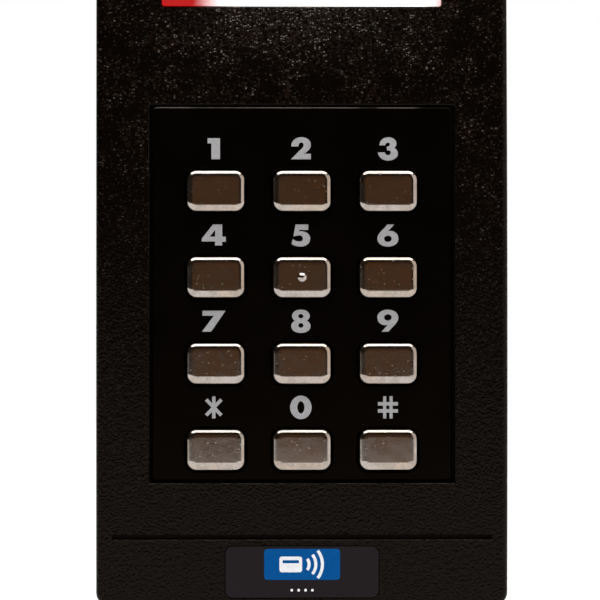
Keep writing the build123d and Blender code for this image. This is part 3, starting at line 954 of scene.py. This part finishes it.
def hash_shape(inner: float, outer: float, reach: float, squeeze: float) -> tuple[Outline, ...]:
    """Two upright and two level bars that cross.

    Args:
        inner: From the middle to a bar's near edge.
        outer: From the middle to a bar's far edge.
        reach: From the middle to the end of a bar.
        squeeze: The width as a share of the height.

    Returns:
        The outer outline and the square hole, about their middle.
    """
    side = [
        (-outer, outer), (-outer, reach), (-inner, reach), (-inner, outer),
        (inner, outer), (inner, reach), (outer, reach),
    ]
    points = []
    for _ in range(4):
        points += [(x * squeeze, y) for x, y in side]
        side = [(y, -x) for x, y in side]
    hole = [(-inner, -inner), (inner, -inner), (inner, inner), (-inner, inner)]
    return (
        Outline.traced(*points),
        Outline.traced(*((x * squeeze, y) for x, y in hole)),
    )


SIX = (
    Outline.traced(
        (48, 100),
        (80, 100), (51, 68), (80, 74, 100, 57, 100, 31), (100, 9, 78, -5, 50, -5),
        (22, -5, 0, 10, 0, 33), (0, 52, 12, 62, 48, 100),
    ),
    Outline.oval((50, 32), 18, 15),
)

GLYPHS: dict[str, tuple[Outline, ...]] = {
    "1": (Outline.traced((0, 100), (59, 100), (59, 0), (18, 0), (18, 75), (0, 75)),),
    "2": (
        Outline.traced(
            (0, 0),
            (95, 0), (95, 26), (64, 26), (80, 38, 95, 50, 95, 68), (95, 90, 77, 105, 50, 105),
            (22, 105, 2, 88, 1, 61), (36, 61), (36, 72, 41, 80, 49, 80),
            (56, 80, 60, 74, 60, 67), (60, 61, 57, 57, 53, 53),
        ),
    ),
    "3": (
        Outline.traced(
            (7, 67),
            (35, 67), (36, 75, 40, 79, 47, 79), (53, 79, 57, 76, 57, 71),
            (57, 65, 51, 61, 42, 61), (44, 43), (54, 44, 61, 40, 61, 33),
            (61, 25, 55, 20, 47, 20), (40, 20, 36, 25, 33, 33), (0, 33),
            (2, 10, 24, -6, 47, -6), (74, -6, 95, 8, 95, 28), (95, 40, 88, 50, 77, 55),
            (84, 59, 88, 66, 88, 75), (88, 93, 72, 105, 49, 105), (25, 105, 9, 90, 7, 67),
        ),
    ),
    "4": (
        Outline.traced(
            (53, 100),
            (97, 100), (97, 42), (114, 42), (114, 18), (97, 18), (97, 0), (63, 0), (63, 19),
            (0, 19), (0, 30), (4, 38),
        ),
        Outline.traced((63, 74), (63, 42), (38, 42)),
    ),
    "5": (
        Outline.traced(
            (19, 100),
            (80, 100), (79, 74), (38, 74), (36, 67), (68, 71, 89, 55, 89, 33),
            (89, 8, 68, -5, 42, -5), (26, -5, 11, -1, 0, 8), (6, 30),
            (17, 22, 28, 19, 39, 19), (49, 19, 54, 25, 54, 33), (54, 43, 46, 48, 36, 48),
            (27, 48, 17, 46, 9, 43),
        ),
    ),
    "6": SIX,
    "7": (Outline.traced((3, 100), (113, 100), (43, 0), (0, 0), (57, 76), (3, 76)),),
    "8": (
        Outline.traced(
            (46, 105),
            (22, 105, 4, 93, 4, 75), (4, 65, 10, 57, 18, 52), (7, 47, 0, 38, 0, 26),
            (0, 7, 20, -6, 46, -6), (72, -6, 92, 7, 92, 26), (92, 38, 85, 47, 74, 52),
            (82, 57, 88, 65, 88, 75), (88, 93, 70, 105, 46, 105),
        ),
        Outline.oval((46, 74), 12, 10),
        Outline.oval((46, 30), 12, 11),
    ),
    "9": tuple(outline.turned((50, 50)) for outline in SIX),
    "0": (Outline.oval((51, 50), 51, 56), Outline.oval((51, 50), 17, 29)),
    "star": (star_shape(8.2, 52, math.radians(46)),),
    "hash": hash_shape(8.6, 25.2, 53, 0.9),
}
GLYPH_HEIGHT = 100
CENTRED = ("star", "hash")


def middle_of(name: str) -> Vector:
    """The middle of one of the frame's pieces."""
    low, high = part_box(name)
    return (low + high) / 2


@dataclass
class KeyLegends:
    """The figures printed on the panel above the keys."""

    height: float = 4.27 * MM
    above_key: float = 8.6 * MM
    shift: float = -0.22 * MM
    spread: float = 0.01
    thickness: float = 0.02 * MM
    ink: Ink = Ink("legend ink", (0.395, 0.395, 0.405))

    def print(self) -> None:
        """Prints one legend above each key."""
        ink = self.ink.material()
        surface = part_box("keypad_panel")[0].y
        for name, outlines in GLYPHS.items():
            key = middle_of(f"key_{name}")
            across = key.x * (1 + self.spread) + self.shift
            stamp(
                f"legend_{name}",
                outlines,
                ink,
                facing(across, surface, key.z + self.above_key),
                self.thickness,
                self.height / GLYPH_HEIGHT,
                self.middle(name, outlines),
            )

    def middle(self, name: str, outlines: Sequence[Outline]) -> Point:
        """How far a glyph's points are moved so that it stands about its middle."""
        if name in CENTRED:
            return (0.0, 0.0)
        across = [end[0] for end in outlines[0].ends()]
        return (-(min(across) + max(across)) / 2, -GLYPH_HEIGHT / 2)


# ---- sub-assemblies ----


def dress(nodes: Nodes, material: Material, *names: str) -> None:
    """Gives the frame's own pieces a finish.

    Args:
        nodes: The frame's pieces by name.
        material: The finish.
        *names: The pieces that take it.
    """
    for name in names:
        slots = nodes[name].data.materials
        slots.clear()
        slots.append(material)
        LOG.info("%s: %s", name, material.name)


class Key(Enum):
    """The twelve keys, by the ending of their piece's name."""

    ONE = "1"
    TWO = "2"
    THREE = "3"
    FOUR = "4"
    FIVE = "5"
    SIX = "6"
    SEVEN = "7"
    EIGHT = "8"
    NINE = "9"
    STAR = "star"
    ZERO = "0"
    HASH = "hash"


@dataclass
class Housing:
    """The grained front housing and what closes it at the back."""

    shell: GrainedPlastic = GrainedPlastic()
    rear: SmoothPlastic = SmoothPlastic("rear plastic", (0.016, 0.016, 0.016), 0.5, depth=0.01 * MM)
    seal: SoftRubber = SoftRubber("cover seal", (0.02, 0.02, 0.02))
    screws: TurnedMetal = TurnedMetal("zinc-plated screws", (0.55, 0.55, 0.56))

    def dress(self, nodes: Nodes) -> None:
        """Gives the housing's pieces their finishes."""
        dress(nodes, self.shell.material(CurvedFace.measured()), "front_housing")
        dress(nodes, self.rear.material(), "rear_cover")
        dress(nodes, self.seal.material(), "cover_seal")
        dress(nodes, self.screws.material(), "cover_screws", "security_screw")


@dataclass
class Keypad:
    """The panel, the keys and what lies under them."""

    panel: SmoothPlastic = SmoothPlastic(
        "panel plastic", (0.0007, 0.0005, 0.0003), 0.24, specular=0.06,
        sheen_colour=(1.0, 0.72, 0.50),
    )
    tape: SoftRubber = SoftRubber("panel tape", (0.02, 0.02, 0.02))
    keys: PlatedMetal = PlatedMetal("plated keys")
    plungers: SmoothPlastic = SmoothPlastic("natural acetal", (0.72, 0.70, 0.64), 0.4, tint=1.1)
    board: CircuitBoard = CircuitBoard("keypad circuit board")
    screws: TurnedMetal = TurnedMetal("small screws", (0.50, 0.50, 0.51))

    def dress(self, nodes: Nodes) -> None:
        """Gives the keypad's pieces their finishes."""
        panel_low, panel_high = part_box("keypad_panel")
        dress(nodes, self.panel.material(panel_high.z), "keypad_panel")
        dress(nodes, self.tape.material(), "panel_tape")
        dress(nodes, self.keys.material(panel_low.y), *(f"key_{key.value}" for key in Key))
        dress(nodes, self.plungers.material(), *(f"plunger_{key.value}" for key in Key))
        dress(nodes, self.board.material(), "keypad_board")
        dress(nodes, self.screws.material(), "keypad_board_screws", "board_screws")


@dataclass
class KeypadMat:
    """The silicone mat: a sheet with a rim, and under each key a dome."""

    silicone: SoftRubber = SoftRubber("grey silicone", (0.30, 0.31, 0.31), 0.55)
    dome_reach: float = 4.3 * MM
    dome_height: float = 1.5 * MM
    travel: float = 0.8 * MM
    tolerance: float = 0.01 * MM

    def build(self, nodes: Nodes) -> None:
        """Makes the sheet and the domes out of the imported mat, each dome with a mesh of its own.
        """
        finish = self.silicone.material()
        packed = nodes["keypad_mat"].data
        dress(nodes, finish, "keypad_mat")
        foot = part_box(f"plunger_{Key.ONE.value}")[1].y
        middles = {key: middle_of(f"key_{key.value}") for key in Key}
        sheet = self.part("mat_sheet", packed, list(middles.values()), foot, domes=False)
        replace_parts(fitted("mat_sheet", sheet, finish, "housing"), "keypad_mat")
        for key, middle in middles.items():
            name = f"mat_dome_{key.value}"
            mesh = self.part(name, packed, [middle], foot, domes=True)
            dome = fitted(name, mesh, finish, "housing")
            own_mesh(dome)

    def part(
        self,
        name: str,
        source: Mesh,
        places: Sequence[Vector],
        foot: float,
        domes: bool,
    ) -> Mesh:
        """Copies one part of the mat and closes it where it was cut.

        Args:
            name: The new mesh's name.
            source: The whole mat.
            places: The middles of the domes that are kept, or cut away.
            foot: The depth of the domes' feet.
            domes: True to keep the domes, False to keep all else.

        Returns:
            The closed mesh.
        """
        shape = bmesh.new()
        shape.from_mesh(source)
        bmesh.ops.remove_doubles(shape, verts=shape.verts, dist=WELD)

        def near(verts: Iterable[bmesh.types.BMVert], place: Vector) -> bool:
            """Whether all of these points lie on the dome at a place."""
            return all(
                vert.co.y < foot + self.tolerance
                and math.hypot(vert.co.x - place.x, vert.co.z - place.z) < self.dome_reach
                for vert in verts
            )

        spare = [
            face for face in shape.faces
            if any(near(face.verts, place) for place in places) != domes
        ]
        bmesh.ops.delete(shape, geom=spare, context="FACES")
        for place in places:
            rim = [edge for edge in shape.edges if edge.is_boundary and near(edge.verts, place)]
            bmesh.ops.bridge_loops(shape, edges=rim)
        bmesh.ops.recalc_face_normals(shape, faces=shape.faces)
        return stored(shape, bpy.data.meshes.new(name))


@dataclass
class LightBar:
    """The lit lens across the top and what shines through it."""

    lens: LitLens = LitLens()
    chamber: SmoothPlastic = SmoothPlastic("white reflector", (0.80, 0.80, 0.78), 0.5, tint=1.1)
    lights: SmoothPlastic = SmoothPlastic("light package", (0.78, 0.76, 0.60), 0.3, tint=1.1)

    def dress(self, nodes: Nodes) -> None:
        """Gives the light bar's pieces their finishes."""
        dress(nodes, self.lens.material(), "light_bar")
        dress(nodes, self.chamber.material(), "light_chamber")
        dress(nodes, self.lights.material(), "status_leds")


@dataclass
class NameLabel:
    """The label at the bottom: dark film, a blue badge and generic symbols."""

    film: SmoothPlastic = SmoothPlastic(
        "label film", (0.0130, 0.0096, 0.0108), 0.34, depth=0.003 * MM, tint=1.1, specular=0.07
    )
    blue: Ink = Ink("badge blue", (0.0002, 0.082, 0.295), 0.38)
    white: Ink = Ink("badge white", (0.88, 0.89, 0.91), 0.42)
    thickness: float = 0.03 * MM
    badge_width: float = 15.4 * MM
    badge_height: float = 6.3 * MM
    badge_radius: float = 0.7 * MM
    badge_up: float = 1.55 * MM
    card_width: float = 4.6 * MM
    card_height: float = 3.2 * MM
    card_radius: float = 0.5 * MM
    card_left: float = -2.3 * MM
    stripe_width: float = 0.72
    stripe_height: float = 0.2
    stripe_up: float = 0.17
    stripe_radius: float = 0.15 * MM
    waves: int = 3
    first_wave: float = 1.35
    wave_inset: float = 0.4 * MM
    wave_width: float = 0.62 * MM
    wave_pitch: float = 1.35 * MM
    wave_angle: float = math.radians(38)
    dots: int = 4
    dot_radius: float = 0.28 * MM
    dot_pitch: float = 1.4 * MM
    dots_down: float = 3.7 * MM

    def surface(self, nodes: Nodes) -> Matrix:
        """The middle of the label's front face, which leans with the housing."""
        low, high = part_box("name_label")
        face = max(nodes["name_label"].data.polygons, key=lambda polygon: -polygon.normal.y)
        tilt = math.asin(max(-1.0, min(1.0, -face.normal.z)))
        depth = low.y + (high.z - low.z) / 2 * math.tan(tilt)
        return facing(0.0, depth, (low.z + high.z) / 2, tilt)

    def card(self) -> list[Outline]:
        """The card of the symbol, with a stripe cut out of it."""
        middle = (self.card_left, self.badge_up)
        stripe = (self.card_left, self.badge_up + self.card_height * self.stripe_up)
        long, tall = self.card_width * self.stripe_width, self.card_height * self.stripe_height
        return [
            Outline.panel(middle, self.card_width, self.card_height, self.card_radius),
            Outline.panel(stripe, long, tall, self.stripe_radius),
        ]

    def wave(self, radius: float) -> Outline:
        """One radio wave: a curved stripe on an arc about the card."""
        inner, outer = radius - self.wave_width / 2, radius + self.wave_width / 2
        sine, cosine = math.sin(self.wave_angle), math.cos(self.wave_angle)
        handle = 4 / 3 * math.tan(self.wave_angle / 2)

        def swing(size: float, sign: float) -> Segment:
            """A curve about the card from one end of the wave to the other, up or down."""
            reach = size * (cosine + handle * sine)
            rise = sign * size * (sine - handle * cosine)
            return (reach, -rise, reach, rise, size * cosine, sign * size * sine)

        first = (outer * cosine, -outer * sine)
        back = (inner * cosine, inner * sine)
        return Outline.traced(first, swing(outer, 1.0), back, swing(inner, -1.0))

    def build(self, nodes: Nodes) -> None:
        """Dresses the film and prints the badge, its symbol and the row of dots."""
        dress(nodes, self.film.material(), "name_label")
        where = self.surface(nodes)
        above = where @ Matrix.Translation((0.0, 0.0, self.thickness))
        blue, white = self.blue.material(), self.white.material()
        badge = Outline.panel(
            (0.0, self.badge_up), self.badge_width, self.badge_height, self.badge_radius
        )
        stamp("badge_plate", [badge], blue, where, self.thickness)
        stamp("badge_card", self.card(), white, above, self.thickness)
        source = (self.card_left + self.card_width / 2 - self.wave_inset, self.badge_up)
        for n in range(self.waves):
            wave = self.wave((n + self.first_wave) * self.wave_pitch)
            stamp(f"badge_wave_{n}", [wave], white, above, self.thickness, shift=source)
        places = [(n - (self.dots - 1) / 2) * self.dot_pitch for n in range(self.dots)]
        size = (self.dot_radius, self.dot_radius)
        dots = [Outline.oval((across, -self.dots_down), *size) for across in places]
        stamp("label_dots", dots, white, where, self.thickness)


@dataclass
class Electronics:
    """The main board and what it carries."""

    board: CircuitBoard = CircuitBoard("main circuit board")
    coil: CopperTurns = CopperTurns()
    chips: SmoothPlastic = SmoothPlastic("chip resin", (0.018, 0.018, 0.019), 0.55, depth=0.01 * MM)
    can: TurnedMetal = TurnedMetal("drawn cans", (0.62, 0.62, 0.63), 0.25)
    header: SmoothPlastic = SmoothPlastic("header plastic", (0.012, 0.012, 0.012), 0.45)
    terminals: SmoothPlastic = SmoothPlastic("terminal plastic", (0.012, 0.10, 0.045), 0.38)
    clamps: TurnedMetal = TurnedMetal("nickel clamps", (0.60, 0.58, 0.54), 0.28)

    def dress(self, nodes: Nodes) -> None:
        """Gives the electronics their finishes."""
        chips = ("processor_chip", "radio_chip", "voltage_regulator", "tamper_sensor", "buzzer")
        dress(nodes, self.board.material(), "main_board")
        dress(nodes, self.coil.material(), "antenna_coil")
        dress(nodes, self.chips.material(), *chips)
        dress(nodes, self.can.material(), "crystal", "power_capacitors")
        dress(nodes, self.header.material(), "board_header")
        dress(nodes, self.terminals.material(), "terminal_block")
        dress(nodes, self.clamps.material(), "terminal_screws")


@dataclass
class WallSide:
    """The wall plate, its insert and the gasket round the rim."""

    plate: SmoothPlastic = SmoothPlastic(
        "wall plate plastic", (0.020, 0.020, 0.020), 0.48, grain=0.4 * MM, depth=0.02 * MM
    )
    insert: TurnedMetal = TurnedMetal("brass insert", (0.60, 0.42, 0.16), 0.3)
    gasket: SoftRubber = SoftRubber("wall gasket", (0.03, 0.03, 0.03), 0.85)

    def dress(self, nodes: Nodes) -> None:
        """Gives the wall side's pieces their finishes."""
        dress(nodes, self.plate.material(), "wall_plate")
        dress(nodes, self.insert.material(), "screw_insert")
        dress(nodes, self.gasket.material(), "wall_gasket")


# ---- studio ----


@dataclass(frozen=True)
class Softbox:
    """A plain rectangular light."""

    name: str
    centre: Triple
    target: Triple
    width: float
    height: float
    radiance: float
    colour: Triple = (1.0, 1.0, 1.0)

    def hang(self) -> None:
        """Adds the light, aimed at its target."""
        lamp = bpy.data.lights.new(self.name, "AREA")
        lamp.shape = "RECTANGLE"
        lamp.size, lamp.size_y = self.width, self.height
        lamp.energy = self.radiance * math.pi * self.width * self.height
        lamp.color = self.colour
        rig = placed(self.name, lamp)
        rig.location = self.centre
        aim = Vector(self.target) - Vector(self.centre)
        rig.rotation_euler = aim.to_track_quat("-Z", "Y").to_euler()
        rig.visible_camera = False


@dataclass
class Studio:
    """A pale floor, soft lights, and a white background over a dim room."""

    lights: tuple[Softbox, ...] = (
        Softbox("top softbox", (0.0, -0.30, 0.80), (0.0, -0.30, 0.0), 1.3, 1.0, 4.0),
        Softbox("right reflector", (0.75, -0.35, 0.25), (0.0, -0.05, 0.0), 1.1, 0.7, 1.0,
                (1.0, 0.93, 0.88)),
        Softbox("backdrop left", (-0.7, 1.0, 0.4), (0.0, 0.0, 0.0), 1.0, 1.0, 1.2),
        Softbox("backdrop right", (0.7, 1.0, 0.4), (0.0, 0.0, 0.0), 1.0, 1.0, 1.2),
    )
    white: Triple = (1.0, 1.0, 1.0)
    room: Triple = (0.096, 0.050, 0.024)
    corners: Triple = (0.020, 0.014, 0.010)
    room_edge: float = 0.90
    room_middle: float = 0.99
    floor_near: float = -0.50
    floor_far: float = 1.6
    floor_half: float = 1.4
    floor_gap: float = 0.2 * MM
    floor_colour: Triple = (0.12, 0.12, 0.12)
    floor_roughness: float = 0.9
    floor_glow: float = 1.0

    def build(self) -> None:
        """Sets up the world, the floor and the lights."""
        self.world()
        self.floor()
        for light in self.lights:
            light.hang()

    def world(self) -> None:
        """White to the camera, and to all else a room brown in front and darker elsewhere."""
        world = bpy.data.worlds.new("studio")
        bpy.context.scene.world = world
        recipe = Recipe(world)
        way = recipe.add("ShaderNodeTexCoord", output="Generated")
        depth = recipe.add("ShaderNodeSeparateXYZ", None, [way], output="Y")
        front = depth.between(-self.room_edge, -self.room_middle)
        shade = recipe.blend(front, self.corners, self.room)
        dim = recipe.add("ShaderNodeBackground", None, [shade])
        bare = recipe.add("ShaderNodeBackground", None, [self.white])
        seen = recipe.add("ShaderNodeLightPath", output="Is Camera Ray")
        mixed = recipe.add("ShaderNodeMixShader", None, [seen, dim, bare])
        recipe.plug(recipe.tree.nodes["World Output"].inputs["Surface"], mixed)

    def floor(self) -> None:
        """A plain pale floor under the reader."""
        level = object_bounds()[0].z - self.floor_gap
        half_depth = (self.floor_far - self.floor_near) / 2
        middle = (0.0, self.floor_near + half_depth, level)
        shape = bmesh.new()
        bmesh.ops.create_grid(shape, x_segments=1, y_segments=1, size=1.0)
        bmesh.ops.scale(shape, vec=(self.floor_half, half_depth, 1.0), verts=shape.verts)
        bmesh.ops.translate(shape, vec=middle, verts=shape.verts)
        mesh = stored(shape, bpy.data.meshes.new("floor"))
        finish = Recipe.named("pale floor").skinned(
            base_color=self.floor_colour,
            roughness=self.floor_roughness,
            emission_color=self.white,
            emission_strength=self.floor_glow,
        )
        mesh.materials.append(finish)
        floor = placed("floor", mesh)
        floor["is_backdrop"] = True


@dataclass
class Viewpoint:
    """The camera: nearly square to the front, a little to the left, from far off."""

    target: Triple = (-0.4 * MM, -25.0 * MM, -5.7 * MM)
    distance: float = 0.90
    azimuth: float = math.radians(-1.4)
    view_width: float = 121.8 * MM
    sensor: float = 36.0

    def set_up(self) -> None:
        """Adds the camera and makes it the scene's."""
        lens = bpy.data.cameras.new("camera")
        lens.sensor_width = self.sensor
        lens.lens = self.sensor * self.distance / self.view_width
        camera = placed("camera", lens)
        away = Vector((math.sin(self.azimuth), -math.cos(self.azimuth), 0.0))
        camera.location = Vector(self.target) + away * self.distance
        camera.rotation_euler = (-away).to_track_quat("-Z", "Y").to_euler()
        bpy.context.scene.camera = camera


def main() -> None:
    """Builds the looks of the whole reader and its studio."""
    logging.basicConfig(level=logging.INFO, format="%(name)s: %(message)s")
    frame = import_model()
    nodes = frame["nodes"]
    Housing().dress(nodes)
    Keypad().dress(nodes)
    KeypadMat().build(nodes)
    LightBar().dress(nodes)
    NameLabel().build(nodes)
    Electronics().dress(nodes)
    WallSide().dress(nodes)
    KeyLegends().print()
    Studio().build()
    Viewpoint().set_up()
    bpy.context.scene.view_settings.view_transform = "Standard"


if __name__ == "__main__":
    main()
